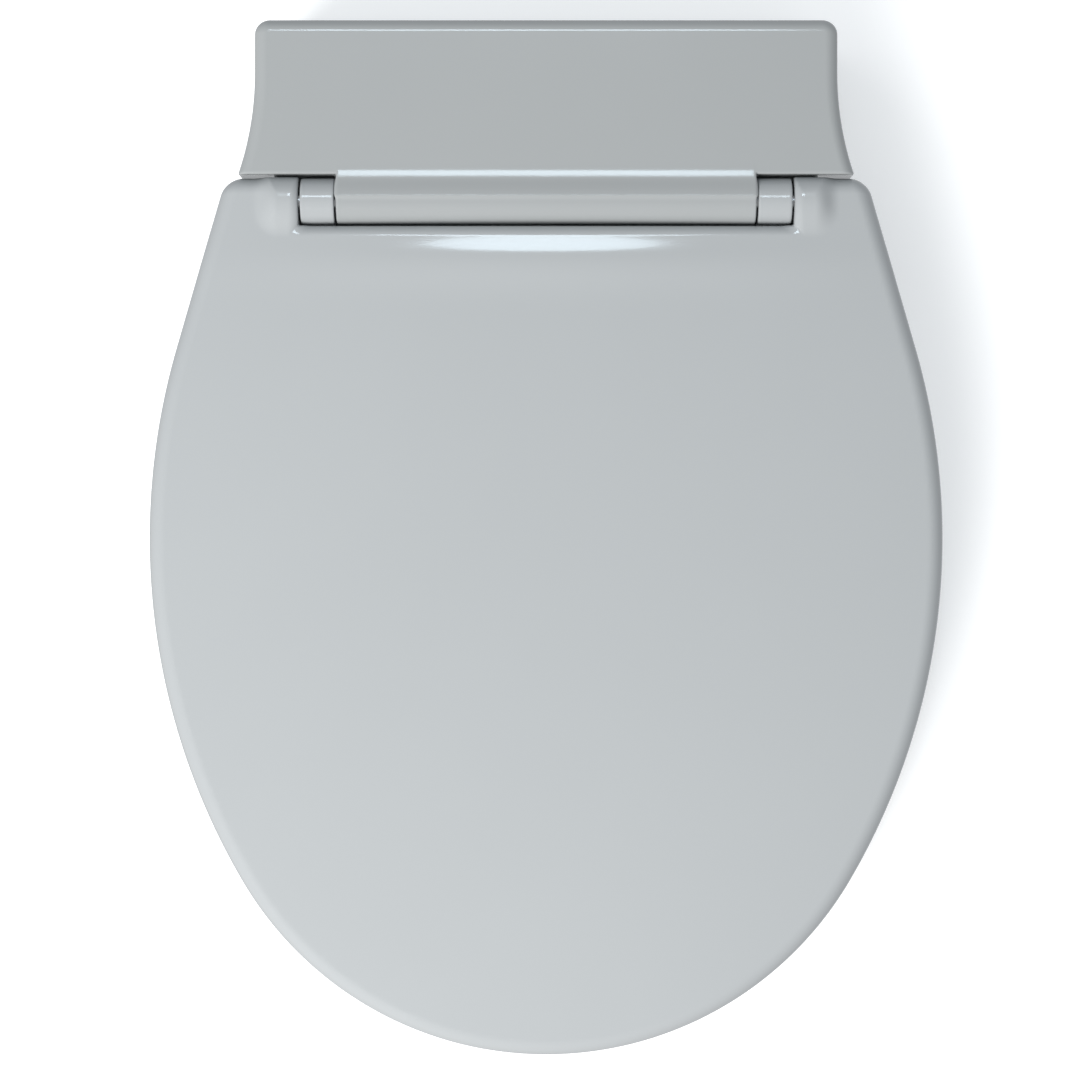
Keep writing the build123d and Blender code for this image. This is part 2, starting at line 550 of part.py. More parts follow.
def make_pinion(side):
    """Involute pinion; one tooth points at the rack."""
    base = PITCH_R * cos(radians(PRESSURE))
    radii = [base + (PITCH_R + ADDENDUM - base) * i / 4 for i in range(5)]
    root = PITCH_R - DEDENDUM
    points = []
    for k in range(GEAR_TEETH):
        middle = (pi if side > 0 else 0.0) + 2 * pi * k / GEAR_TEETH
        flank = [(r, tooth_half_angle(r)) for r in radii]
        start = [(root, tooth_half_angle(base))] + flank
        for r, half in start:
            points.append((r * cos(middle - half), r * sin(middle - half)))
        for r, half in reversed(start):
            points.append((r * cos(middle + half), r * sin(middle + half)))
    gear = Pos(0, 0, -GEAR_WIDTH / 2) * extrude(make_face(Polyline(*points, close=True)), GEAR_WIDTH)
    gear += Pos(0, 0, -GEAR_WIDTH / 2 - 1.5) * Cylinder(4.0, 3.0)
    gear -= Pos(0, 0, -GEAR_WIDTH / 2) * Cylinder(1.55, 12.0)
    return NOZZLE_FRAME * Pos(side * PINION_X, PINION_AT, 0) * gear


def make_rack(side):
    """Straight toothed strip along the outer side of a nozzle."""
    pitch = pi * GEAR_MODULE
    half = (pitch / 2 - BACKLASH) / 2
    slope = tan(radians(PRESSURE))
    y0, y1 = 11.0, NOZZLE_LENGTH - 1.0
    points = [(NOZZLE_X + NOZZLE_R - 1.2, y0), (PITCH_LINE - DEDENDUM, y0)]
    k = int((y0 - PINION_AT) / pitch) - 1
    while PINION_AT + (k + 0.5) * pitch + pitch / 2 < y1:
        centre = PINION_AT + (k + 0.5) * pitch
        if centre - pitch / 2 > y0:
            points += [(PITCH_LINE - DEDENDUM, centre - half - DEDENDUM * slope),
                       (PITCH_LINE + ADDENDUM, centre - half + ADDENDUM * slope),
                       (PITCH_LINE + ADDENDUM, centre + half - ADDENDUM * slope),
                       (PITCH_LINE - DEDENDUM, centre + half + DEDENDUM * slope)]
        k += 1
    points += [(PITCH_LINE - DEDENDUM, y1), (NOZZLE_X + NOZZLE_R - 1.2, y1)]
    if side < 0:
        points = [(-x, y) for x, y in points]
    return Pos(0, 0, -2) * extrude(make_face(Polyline(*points, close=True)), 4)


def make_nozzle(side, holes):
    """One wand with its rack, and its removable tip with a row of spray holes."""
    x = side * NOZZLE_X
    tube = rod_y(x, 9.0, NOZZLE_LENGTH, 0, NOZZLE_R) + make_rack(side)
    tube -= rod_y(x, 14.0, NOZZLE_LENGTH + 1, 0, FEED_R + 0.06)
    tube -= rod_y(x, 8.0, 15.0, 0, 2.0)
    tip = rod_y(x, 0, 9.0, 0, NOZZLE_R)
    tip = fillet(tip.edges().group_by(Axis.Y)[0], 2.4)
    tip -= rod_y(x, 3.5, 10, 0, 2.0)
    for i in range(holes):
        tip -= rod_z(x - (holes - 1) + 2 * i, 5.0, 0, 8, 0.5)
    feed = rod_y(x, 16.0, 140.0, 0, FEED_R) - rod_y(x, 15, 141, 0, 2.2)
    return NOZZLE_FRAME * tube, NOZZLE_FRAME * tip, NOZZLE_FRAME * feed


def make_nozzle_motor(side):
    x = side * PINION_X
    body = Pos(x, PINION_AT, -14.7) * Cylinder(10.0, 12.0)
    body += Pos(x, PINION_AT, -8.2) * Cylinder(4.0, 1.0)
    body += Pos(x, PINION_AT, -3.0) * Cylinder(1.5, 11.0)
    body += block(min(x, x + side * 12), max(x, x + side * 12), PINION_AT - 5, PINION_AT + 5, -20, -9.2)
    return NOZZLE_FRAME * body


def make_cradle():
    """Guides that carry both wands and their motors."""
    floor = block(-36, 36, 1, 46, -8.7, -7.7)
    cradle = floor
    for y0, y1 in ((1.0, 9.5), (34.0, 46.0)):
        cradle += block(-20, 20, y0, y1, -8.7, 7.6)
    for side in (1, -1):
        x = side * NOZZLE_X
        cradle -= rod_y(x, 0, 50, 0, NOZZLE_R + 0.06)
        cradle -= block(*sorted((side * 15, side * 30)), 0, 50, -2.3, 2.3)
        cradle -= Pos(side * PINION_X, PINION_AT, -8) * Cylinder(5.0, 6.0)
    legs = block(-36, -30, -90, -60, 3.6, 23) + block(30, 36, -90, -60, 3.6, 23)
    legs = legs & (NOZZLE_FRAME * block(-60, 60, -40, 60, -60, -8.0))
    for side in (1, -1):
        legs -= NOZZLE_FRAME * Pos(side * PINION_X, PINION_AT, -14.5) * Cylinder(10.05, 14.0)
        legs -= NOZZLE_FRAME * block(*sorted((side * PINION_X, side * (PINION_X + 12.1))), PINION_AT - 5.1,
                                     PINION_AT + 5.1, -20.1, -8.7)
    return NOZZLE_FRAME * cradle + legs


# ---------------------------------------------------------------- water path
MANIFOLD = (-20.0, 20.0, 44.0, 58.0, 42.0, 60.0)
TANK = (-92.0, -42.0, -92.0, -36.0, 3.6, 40.0)
HOSE_Z = 27.6


def make_inlet():
    """Threaded spigot that points down in the left corner recess."""
    x, y = INLET_POS
    ceiling = RECESS[3]
    spigot = rod_z(x, y, 2.5, ceiling, SPIGOT_R) + rod_z(x, y, ceiling - 2.5, ceiling, 12.5)
    spigot -= rod_z(x, y, 0, 30, 6.0)
    strainer = rod_z(x, y, 4.0, 9.0, 6.0) - rod_z(x, y, 4.6, 10, 5.0)
    for i in range(-1, 2):
        for j in range(-1, 2):
            strainer -= rod_z(x + 2.6 * i, y + 2.6 * j, 3, 6, 0.7)
    return spigot, strainer


def make_solenoid_valve():
    x, y = INLET_POS
    z = RECESS[3] + CASE_WALL
    body = block(x - 11, x + 12, y - 12, y + 12, z, z + 14)
    body += rod_z(x, y, z + 13, z + 34, 5.0)
    body += rod_x(x + 10, x + 24, y - 4, HOSE_Z, 4.5)
    body -= rod_z(x, y, z - 1, z + 8, 6.0)
    coil = rod_z(x, y, z + 14, z + 30, 10.5) - rod_z(x, y, z + 13, z + 31, 5.0)
    coil += block(x - 4, x + 4, y + 8, y + 14, z + 18, z + 26)
    return body, coil


def make_tank():
    x0, x1, y0, y1, z0, z1 = TANK
    body = fillet(block(*TANK).edges().filter_by(Axis.Z), 8.0)
    cavity = block(x0 + 2.5, x1 - 2.5, y0 + 2.5, y1 - 2.5, z0 + 2.5, z1 - 2.5)
    body -= fillet(cavity.edges().filter_by(Axis.Z), 5.0)
    body += rod_y(x0 + 14, y1 - 1, y1 + 10, HOSE_Z, 4.5)
    body += rod_y(x1 - 12, y1 - 1, y1 + 10, HOSE_Z, 4.5)
    body -= rod_y(x0 + 14, y1 - 4, y1 + 11, HOSE_Z, 3.0)
    body -= rod_y(x1 - 12, y1 - 4, y1 + 11, HOSE_Z, 3.0)
    mid = (x0 + x1) / 2
    body -= rod_y(mid - 8, y0 - 1, y0 + 4, 18, 3.2) + rod_y(mid + 8, y0 - 1, y0 + 4, 18, 3.2)
    body -= rod_y(mid, y0 - 1, y0 + 4, 31, 2.5)
    left, right, front, back = mid - 8, mid + 8, y0 - 4, y1 - 12
    loop = Polyline((left, front, 18), (left, back, 18), (right, back, 18), (right, front, 18))
    loop = fillet_path(loop, 7.0)
    element = sweep(Plane(loop @ 0, z_dir=loop % 0) * Circle(3.2), path=loop)
    sensor = rod_y(mid, y0 - 5, y0 + 14, 31, 2.5) + rod_y(mid, y0 - 5, y0, 31, 4.0)
    return body, element, sensor


def fillet_path(path, radius):
    """Rounds the inner corners of an open polyline."""
    points = [tuple(v) for v in [path @ 0] + [e @ 1 for e in path.edges()]]
    return FilletPolyline(*points, radius=radius)


def make_diverter():
    x0, x1, y0, y1, z0, z1 = MANIFOLD
    body = block(*MANIFOLD)
    for side in (1, -1):
        body += NOZZLE_FRAME * rod_y(side * NOZZLE_X, 132, 147, 0, 5.5)
        body -= NOZZLE_FRAME * rod_y(side * NOZZLE_X, 130, 140, 0, FEED_R)
        body -= NOZZLE_FRAME * rod_y(side * NOZZLE_X, 130, 146, 0, 2.2)
    body += rod_z(0, 51, z1, z1 + 2, 8.0)
    body += rod_x(x0 - 9, x0, 51, 48, 4.5)
    body += block(-8, 8, 46, 56, 15.0, z0)
    motor = rod_z(0, 51, z1 + 2, HOUSING_TOP - CASE_WALL - 0.4, 7.4)
    motor += block(5, 13, 46, 54.5, z1 + 3, z1 + 9)
    return body, motor


def hose(points, outer, inner, radius):
    path = FilletPolyline(*points, radius=radius)
    start = Plane(path @ 0, z_dir=path % 0)
    return sweep(start * (Circle(outer) - Circle(inner)), path=path)


def make_hoses():
    x, y = INLET_POS
    x0, x1, _, ty, _, _ = TANK
    cold = [(x + 16, y - 4, HOSE_Z), (x0 + 14, y - 4, HOSE_Z), (x0 + 14, ty + 2, HOSE_Z)]
    supply = hose(cold, 5.9, 4.5, 10.0)
    heated = x1 - 12
    warm = hose([(heated, ty + 2, HOSE_Z), (heated, 24, HOSE_Z), (heated, 51, 48), (MANIFOLD[0] - 1, 51, 48)],
                5.9, 4.5, 8.0)
    return supply, warm


# ---------------------------------------------------------------- warm air dryer
BLOWER = (77.0, 24.0, 16.0, 42.0, 24.0)  # centre x, y, bottom, top, radius


def make_blower():
    x, y, z0, z1, r = BLOWER
    case = rod_z(x, y, z0, z1, r) + block(x - r, x - r + 24, y - 40, y, z0, z1)
    case -= rod_z(x, y, z0 + 1.6, z1 - 1.6, r - 1.6)
    case -= block(x - r + 1.6, x - r + 22.4, y - 41, y, z0 + 1.6, z1 - 1.6)
    case -= rod_z(x, y, z1 - 2, z1 + 1, 12.0)
    case += block(x - 14, x + 14, y + 12, y + 18, z0 - 1, z0 + 1)
    case -= rod_z(x, y, z0 - 2, z0 + 2, 11.0)
    wheel = rod_z(x, y, z0 + 4, z0 + 5.4, 20.0) + rod_z(x, y, z0 + 4, z0 + 14, 5.0)
    for k in range(24):
        blade = block(14.5, 20.0, -0.5, 0.5, z0 + 5, z1 - 4.5)
        wheel += Pos(x, y, 0) * Rot(0, 0, 15 * k) * blade
    wheel += rod_z(x, y, z1 - 5, z1 - 4, 20.0) - rod_z(x, y, z1 - 6, z1 - 3, 15.5)
    wheel -= rod_z(x, y, z0, z0 + 12, 1.55)
    motor = rod_z(x, y, z0 - 1.0, z0 + 2.6, 11.0) + rod_z(x, y, z0 + 1, z0 + 11, 1.5)
    return case, wheel, motor


def make_duct():
    """Flat air duct from the blower to the outlet, with a wire heater inside."""
    x, y, z0, z1, r = BLOWER
    a, b = x - r, x - r + 24
    front = DECK_FRONT_Y + CASE_WALL
    outside = polygon((y - 40, z0), (front, 12.0), (front, 36.0), (y - 40, z1))
    front = DECK_FRONT_Y + 1
    inside = polygon((y - 39, z0 + 1.6), (front, 13.6), (front, 34.4), (y - 39, z1 - 1.6))
    hollow = profile_x(inside, a - 8.4, b - 1.6)
    duct = profile_x(outside, a - 10, b) - hollow
    mid = (a - 8.4 + b - 1.6) / 2
    cy = -50.0
    card = block(mid - 14, mid + 14, cy - 0.5, cy + 0.5, 5, 50) & hollow
    card -= block(mid - 11, mid + 11, cy - 2, cy + 2, 18.5, 33.0)
    wires = card
    for i in range(5):
        z = 20 + 2.9 * i
        wires += rod_x(mid - 12, mid + 12, cy, z, 0.7)
    return duct, wires


# ---------------------------------------------------------------- electronics
def make_boards():
    """Control board over the blower and power board over the left side, each on four posts."""
    # middle x, middle y, width, depth and height of each component block
    control_parts = ((46, 8, 16, 10, 8), (64, 14, 14, 14, 10), (96, 30, 20, 12, 6), (70, 40, 30, 6, 9))
    power_parts = ((50, 20, 30, 26, 9.5), (84, 12, 12, 20, 9), (84, 40, 18, 12, 8), (98, 30, 14, 14, 7))
    boards = []
    for sign, parts in ((1, control_parts), (-1, power_parts)):
        x0, x1 = sorted((sign * 28.0, sign * 114.0))
        board = block(x0, x1, 0, 52, 61.0, 62.6)
        for cx, cy, w, d, h in parts:
            board += block(sign * cx - w / 2, sign * cx + w / 2, cy - d / 2, cy + d / 2, 62.5, 62.6 + h)
        board += rod_z(sign * 104, 12, 62.5, 71.0, 4.5) + rod_z(sign * 50, 44, 62.5, 70.0, 3.5)
        boards.append(board)
    return boards


def board_posts():
    posts = []
    for x in (31.5, 110.0):
        for y in (3.5, 48.5):
            posts += both_sides(rod_z(x, y, 62.6, HOUSING_TOP - CASE_WALL + 0.5, 2.8))
    return posts


def make_gland():
    x, y = -INLET_POS[0], INLET_POS[1]
    ceiling = RECESS[3]
    gland = rod_z(x, y, ceiling - 9, ceiling, 6.5) + rod_z(x, y, ceiling - 2, ceiling, 9.0)
    gland += rod_z(x, y, ceiling, ceiling + 9, 5.0)
    gland -= rod_z(x, y, 0, 60, 3.0)
    return gland


# ---------------------------------------------------------------- whole object
def main():
    os.makedirs("parts", exist_ok=True)
    save("lid", make_lid())
    save("lid_bumpers", *make_lid_bumpers())
    seat_top, seat_bottom, heater_pad = make_seat()
    save("seat_top", seat_top)
    save("seat_bottom", seat_bottom)
    save("seat_heater", heater_pad)
    save("seat_bumpers", *make_seat_bumpers())
    save("seat_sensor", make_seat_sensor())
    cover, tray = make_case()
    for post in board_posts():
        cover += post
    x, y = INLET_POS
    for cx, r in ((x, 6.0), (-x, 5.0)):
        tray -= rod_z(cx, y, RECESS[3] - 1, RECESS[3] + CASE_WALL + 1, r)
    save("rear_cover", cover)
    save("base_tray", tray)
    save("front_bezel", make_bezel())
    save("nozzle_guard", make_flap(-23.2, 23.2, 11.0, (-NOZZLE_X, NOZZLE_X)))
    save("dryer_flap", make_flap(42.4, 71.6, 13.0, ()))
    save("flap_pins", *make_pins())
    save("base_pads", *make_base_pads())
    save("case_screws", *make_screws())
    save("mounting_plate", make_mounting_plate())
    tongue, button, spring = make_latch()
    save("latch_tongue", tongue)
    save("release_button", button)
    save("release_spring", spring)
    panel, buttons, lens, board = make_side_panel()
    save("button_panel", panel)
    save("side_button_power", buttons[0])
    save("side_button_wash", buttons[1])
    save("receiver_window", lens)
    save("button_board", board)
    damper, shaft, bush = make_hinge_parts()
    for name, shape in (("damper", damper), ("bush", bush)):
        save(f"{name}_right", shape)
        save(f"{name}_left", mirror(shape, Plane.YZ))
    save("seat_shaft", shaft)
    save("lid_shaft", mirror(shaft, Plane.YZ))
    for side, name, holes in ((1, "rear_wash", 3), (-1, "front_wash", 4)):
        tube, tip, feed = make_nozzle(side, holes)
        save(f"{name}_nozzle", tube)
        save(f"{name}_tip", tip)
        save(f"{name}_feed_tube", feed)
        save(f"{name}_pinion", make_pinion(side))
        save(f"{name}_motor", make_nozzle_motor(side))
    save("nozzle_cradle", make_cradle())
    spigot, strainer = make_inlet()
    save("water_inlet", spigot)
    save("inlet_strainer", strainer)
    valve, coil = make_solenoid_valve()
    save("solenoid_valve", valve)
    save("solenoid_coil", coil)
    tank, element, sensor = make_tank()
    save("heater_tank", tank)
    save("heater_element", element)
    save("temperature_sensor", sensor)
    diverter, diverter_motor = make_diverter()
    save("diverter_valve", diverter)
    save("diverter_motor", diverter_motor)
    supply, warm = make_hoses()
    save("supply_hose", supply)
    save("tank_hose", warm)
    case, wheel, motor = make_blower()
    save("blower_case", case)
    save("blower_wheel", wheel)
    save("blower_motor", motor)
    duct, wires = make_duct()
    save("dryer_duct", duct)
    save("dryer_heater", wires)
    control, power = make_boards()
    save("control_board", control)
    save("power_board", power)
    save("cord_gland", make_gland())


main()
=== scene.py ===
import json
import math

import bpy
import numpy as np
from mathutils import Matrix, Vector


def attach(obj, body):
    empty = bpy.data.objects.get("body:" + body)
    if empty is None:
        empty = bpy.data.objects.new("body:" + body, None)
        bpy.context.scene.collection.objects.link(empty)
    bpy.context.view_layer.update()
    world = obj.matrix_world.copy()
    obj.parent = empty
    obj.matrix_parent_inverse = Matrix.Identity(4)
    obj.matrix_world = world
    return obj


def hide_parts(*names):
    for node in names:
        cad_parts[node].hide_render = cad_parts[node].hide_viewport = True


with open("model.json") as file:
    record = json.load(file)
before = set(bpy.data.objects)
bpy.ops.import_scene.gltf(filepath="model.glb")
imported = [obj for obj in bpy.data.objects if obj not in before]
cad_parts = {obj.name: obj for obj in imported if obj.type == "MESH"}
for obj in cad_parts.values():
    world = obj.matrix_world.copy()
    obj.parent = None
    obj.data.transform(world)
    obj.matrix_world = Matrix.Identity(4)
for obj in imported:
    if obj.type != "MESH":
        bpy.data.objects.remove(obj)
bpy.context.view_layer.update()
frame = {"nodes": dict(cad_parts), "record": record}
MM = 0.001

# ---------------------------------------------------------------- sizes, in millimetres
HINGE_Y, HINGE_Z, HINGE_R = -22.4, 70.0, 11.0
BARREL_HALF = 99.4
EAR_IN, EAR_OUT = 100.3, 116.4
NOTCH_HALF, NOTCH_Y = 117.3, -34.4
KNUCKLE_OUT = 131.0

LID_HALF, LID_WIDEST_Y, LID_TIP_Y, LID_SIDE_R = 190.0, -185.5, -433.5, 328.0
LID_TAPER = math.radians(16.5)
LID_REAR_Y, LID_CORNER_R, LID_EDGE_R, LID_WALL = -11.4, 8.0, 8.0, 3.0
CROWN_R = 3600.0
CROWN_BACK = (-34.0, 79.0)
CROWN_FRONT = (-433.5, 48.0)
SKIRT_FRONT = (-433.5, 31.0)
SKIRT_BACK = (-22.0, 58.5)
RIDGE, RIDGE_Y, RIDGE_DEPTH, RIDGE_HALF = 1.7, -51.5, 11.0, 112.0  # shallow swelling in front of the notch
LIP_R = 5.0  # rounding of the lid's edge at the notch
NOTCH_GAP = 0.3  # gap round the barrel at the hinge line
GAP_GROWTH, GAP_GROWTH_Z, GAP_GROWTH_HEIGHT = 0.4, 71.0, 3.0
KNUCKLE_EDGE_R, KNUCKLE_FILLET = 4.0, 8.0

SEAT_INSET, SEAT_DROP, SEAT_WALL = 5.2, 8.0, 3.0
SEAT_REAR_Y, SEAT_REAR_Z, SEAT_BASE_Z = -38.4, 50.0, 12.0
SEAT_STEP_Y = (-150.0, -125.0)
SEAT_EDGE_R, HOLE_EDGE_R = 8.0, 7.0
SIDE_X, SIDE_RISE = 137.0, 22.0  # where the ring's far sides begin, and how far their underside climbs
HOLE_Y, HOLE_A, HOLE_B = -250.0, 108.0, 128.0

REAR_Y = 63.2
HOUSING_HALF, HOUSING_FLARE_HALF, HOUSING_FLARE_Y = 138.2, 146.3, 38.0
HOUSING_FRONT_Y, HOUSING_TOP = -10.4, 79.0
RAMP = math.radians(9.4)
LID_OPEN = math.radians(105)
OPEN_PAST_RAMP = LID_OPEN - RAMP - math.pi / 2
DECK_HALF, DECK_FRONT_Y, DECK_TOP, DECK_CORNER_R = 132.0, -106.0, 45.0, 28.0
CASE_WALL, SEAM_Z = 2.6, 24.0
REAR_CORNER_R, TOP_EDGE_R = 7.0, 6.0
RAMP_SOFTNESS = 1.3  # width of the bend between the ramp and the flat top


# ---------------------------------------------------------------- distance functions
def round_max(a, b, r):
    """Intersection of two solids, with the shared edge rounded to radius r."""
    return np.minimum(np.maximum(a, b), -r) + np.hypot(np.maximum(a + r, 0), np.maximum(b + r, 0))


def round_min(a, b, r):
    """Union of two solids, with a fillet of radius r in the corner between them."""
    return -round_max(-a, -b, r)


def box(x, y, z, lo, hi, r=0.6):
    """Block between two corners, with rounded edges."""
    dx = np.maximum(lo[0] - x, x - hi[0])
    dy = np.maximum(lo[1] - y, y - hi[1])
    dz = np.maximum(lo[2] - z, z - hi[2])
    return round_max(round_max(dx, dy, r), dz, r)


def bar_x(x, y, z, x0, x1, cy, cz, radius, r=0.8):
    """Round bar along X, with rounded ends."""
    return round_max(np.hypot(y - cy, z - cz) - radius, np.maximum(x0 - x, x - x1), r)


LID_REACH = LID_WIDEST_Y - LID_TIP_Y
FRONT_R = (LID_SIDE_R**2 - (LID_SIDE_R - LID_HALF) ** 2 - LID_REACH**2) / (2 * (LID_SIDE_R - LID_REACH))
FRONT_Y = LID_TIP_Y + FRONT_R
JOIN = math.asin((LID_WIDEST_Y - FRONT_Y) / (LID_SIDE_R - FRONT_R))


def egg(x, y, rear_y, corner_r):
    """Plan distance to the outline of lid or seat: front arc, side arcs, straight tapers and rear edge."""
    ax = np.abs(x)
    sx, sy = ax - (LID_HALF - LID_SIDE_R), y - LID_WIDEST_Y
    angle = np.arctan2(sy, sx)
    side = np.hypot(sx, sy) - LID_SIDE_R
    front = np.hypot(ax, y - FRONT_Y) - FRONT_R
    taper = sx * math.cos(LID_TAPER) + sy * math.sin(LID_TAPER) - LID_SIDE_R
    around = np.where(angle < -JOIN, front, np.where(angle > LID_TAPER, taper, side))
    return round_max(around, y - rear_y, corner_r)


def crown_centre():
    (y0, z0), (y1, z1) = CROWN_FRONT, CROWN_BACK
    length = math.hypot(y1 - y0, z1 - z0)
    down = math.sqrt(CROWN_R**2 - length**2 / 4)
    return (y0 + y1) / 2 + (z1 - z0) / length * down, (z0 + z1) / 2 - (y1 - y0) / length * down


CROWN_Y, CROWN_Z = crown_centre()


def crown(x, y, z):
    """Distance above the lid's crowned top."""
    flat = np.hypot(x, y - CROWN_Y)
    return np.hypot(flat, z - CROWN_Z) - CROWN_R


def skirt_line(y):
    (y0, z0), (y1, z1) = SKIRT_FRONT, SKIRT_BACK
    return z0 + (z1 - z0) * (y - y0) / (y1 - y0)


# ---------------------------------------------------------------- mesh from a distance function
def steps(lo, hi, step, fine=(), fine_step=None):
    """Grid lines from lo to hi, closer together inside the fine ranges."""
    lines = [lo]
    while lines[-1] < hi:
        here = lines[-1]
        near = any(a - step <= here < b for a, b in fine)
        lines.append(here + (fine_step if near else step))
    return np.array(lines)


def surface_net(f, xs, ys, zs):
    """Vertices and quads of the surface where f is 0, one vertex for each grid cell that it crosses."""
    values = np.empty((len(xs), len(ys), len(zs)), np.float32)
    gy, gz = np.meshgrid(ys, zs, indexing="ij")
    for i0 in range(0, len(xs), 16):
        part = xs[i0 : i0 + 16]
        values[i0 : i0 + 16] = f(part[:, None, None] + 0 * gy[None], gy[None] + 0 * part[:, None, None],
                                 gz[None] + 0 * part[:, None, None])
    inside = values < 0
    count = np.zeros(tuple(n - 1 for n in inside.shape), np.int8)
    corners = [(a, b, c) for a in (0, 1) for b in (0, 1) for c in (0, 1)]
    nx, ny, nz = count.shape
    for a, b, c in corners:
        count += inside[a : a + nx, b : b + ny, c : c + nz]
    active = (count > 0) & (count < 8)
    cell = np.argwhere(active)
    index = np.full(active.shape, -1, np.int64)
    index[active] = np.arange(len(cell))
    total = np.zeros((len(cell), 3))
    crossings = np.zeros(len(cell))
    lines = (xs, ys, zs)
    for p in corners:
        for axis in range(3):
            if p[axis]:
                continue
            q = tuple(1 if i == axis else p[i] for i in range(3))
            a, b = cell + p, cell + q
            fa, fb = values[tuple(a.T)], values[tuple(b.T)]
            cross = (fa < 0) != (fb < 0)
            t = np.where(cross, fa / np.where(cross, fa - fb, 1), 0)
            for i in range(3):
                pa, pb = lines[i][a[:, i]], lines[i][b[:, i]]
                total[:, i] += np.where(cross, pa + t * (pb - pa), 0)
            crossings += cross
    verts = total / crossings[:, None]
    quads = []
    for axis in range(3):
        u, v = (axis + 1) % 3, (axis + 2) % 3
        lo = [slice(None)] * 3
        hi = [slice(None)] * 3
        lo[axis], hi[axis] = slice(None, -1), slice(1, None)
        change = inside[tuple(lo)] != inside[tuple(hi)]
        edge = np.argwhere(change)
        iu, iv = edge[:, u], edge[:, v]
        edge = edge[(iu > 0) & (iv > 0) & (iu < index.shape[u]) & (iv < index.shape[v])]
        ring = []
        for du, dv in ((-1, -1), (0, -1), (0, 0), (-1, 0)):
            at = edge.copy()
            at[:, u] += du
            at[:, v] += dv
            ring.append(index[tuple(at.T)])
        ring = np.stack(ring, 1)
        flip = ~inside[tuple(edge.T)]
        ring[flip] = ring[flip][:, ::-1]
        quads.append(ring)
    return verts, np.concatenate(quads)


def gradient(f, p, h):
    out = np.empty_like(p)
    for i in range(3):
        d = np.zeros(3)
        d[i] = h
        out[:, i] = (f(*(p + d).T) - f(*(p - d).T)) / (2 * h)
    return out


def solid(name, f, xs, ys, zs, normal_step=0.15):
    """Object with the surface of f, its vertices moved onto that surface and its shading taken from it."""
    verts, quads = surface_net(f, xs, ys, zs)
    for _ in range(3):
        g = gradient(f, verts, 0.05)
        size = np.maximum((g * g).sum(1), 0.2)
        move = -(f(*verts.T) / size)[:, None] * g
        length = np.linalg.norm(move, axis=1, keepdims=True)
        verts += move * np.minimum(1, 0.6 / np.maximum(length, 1e-9))
    mesh = bpy.data.meshes.new(name)
    mesh.vertices.add(len(verts))
    mesh.vertices.foreach_set("co", (verts * MM).astype(np.float32).ravel())
    mesh.loops.add(quads.size)
    mesh.loops.foreach_set("vertex_index", quads.astype(np.int32).ravel())
    mesh.polygons.add(len(quads))
    mesh.polygons.foreach_set("loop_start", (np.arange(len(quads)) * 4).astype(np.int32))
    mesh.polygons.foreach_set("use_smooth", np.ones(len(quads), bool))
    mesh.update(calc_edges=True)
    mesh.validate()
    normals = gradient(f, verts, normal_step)
    normals /= np.maximum(np.linalg.norm(normals, axis=1, keepdims=True), 1e-9)
    mesh.normals_split_custom_set_from_vertices(normals.tolist())
    obj = bpy.data.objects.new(name, mesh)
    bpy.context.scene.collection.objects.link(obj)
    return obj


GRID = 1.6
FINE = 0.8


# ---------------------------------------------------------------- lid
def lid_distance(x, y, z):
    ax = np.abs(x)
    plan = egg(x, y, LID_REAR_Y, LID_CORNER_R)
    ridge = RIDGE * np.exp(-(((y - RIDGE_Y) / RIDGE_DEPTH) ** 2)) * np.exp(-((x / RIDGE_HALF) ** 2))
    top = crown(x, y, z) - ridge
    outer = round_max(plan, top, LID_EDGE_R)
    # the notch is a hollow round the barrel above the hinge line, and straight below it
    below = np.maximum(NOTCH_Y - y, z - HINGE_Z)
    gap = NOTCH_GAP + GAP_GROWTH * np.clip((z - GAP_GROWTH_Z) / GAP_GROWTH_HEIGHT, 0, 1)
    around = np.minimum(np.hypot(y - HINGE_Y, z - HINGE_Z) - HINGE_R - gap, HINGE_Y - y)
    # above the hinge line, room for the ramp behind the barrel when the lid stands open
    turned = (HINGE_Y - y) * math.cos(OPEN_PAST_RAMP) - (z - HINGE_Z) * math.sin(OPEN_PAST_RAMP)
    around = np.minimum(around, np.maximum(turned - HINGE_R - NOTCH_GAP, HINGE_Z - z))
    notch = np.maximum(ax - NOTCH_HALF, np.minimum(below, around))
    outer = round_max(outer, -notch, LIP_R)
    hollow = round_max(plan + LID_WALL, crown(x, y, z) + LID_WALL, LID_EDGE_R - LID_WALL)
    wall_y = NOTCH_Y - LID_WALL
    boss = np.maximum(ax - KNUCKLE_OUT, wall_y - y)
    hollow = np.maximum(hollow, -boss)
    shell = round_max(outer, -hollow, 0.8)
    shell = round_max(shell, skirt_line(y) - z, 0.8)
    under = box(ax, y, z, (-1, wall_y - 1, -5), (KNUCKLE_OUT, HINGE_Y, HINGE_Z - 4), 0.5)
    shell = round_max(shell, -under, 0.6)
    # slot for the seat's arm
    arm = box(ax, y, z, (EAR_IN - 1.2, wall_y - 1, -5), (EAR_OUT + 1.2, NOTCH_Y + 1, HINGE_Z), 0.5)
    shell = round_max(shell, -arm, 0.5)
    knuckle = bar_x(ax, y, z, NOTCH_HALF, KNUCKLE_OUT, HINGE_Y, HINGE_Z, HINGE_R, KNUCKLE_EDGE_R)
    joined = np.maximum(round_min(shell, knuckle, KNUCKLE_FILLET), y - LID_REAR_Y)
    # behind the hinge line the lid keeps inside the circle that clears the housing's front
    swept = np.hypot(y - HINGE_Y, z - HINGE_Z) - (HOUSING_FRONT_Y - HINGE_Y - 0.1)
    joined = np.where(y > HINGE_Y, np.maximum(joined, swept), joined)
    return round_max(joined, -notch, 0.8)


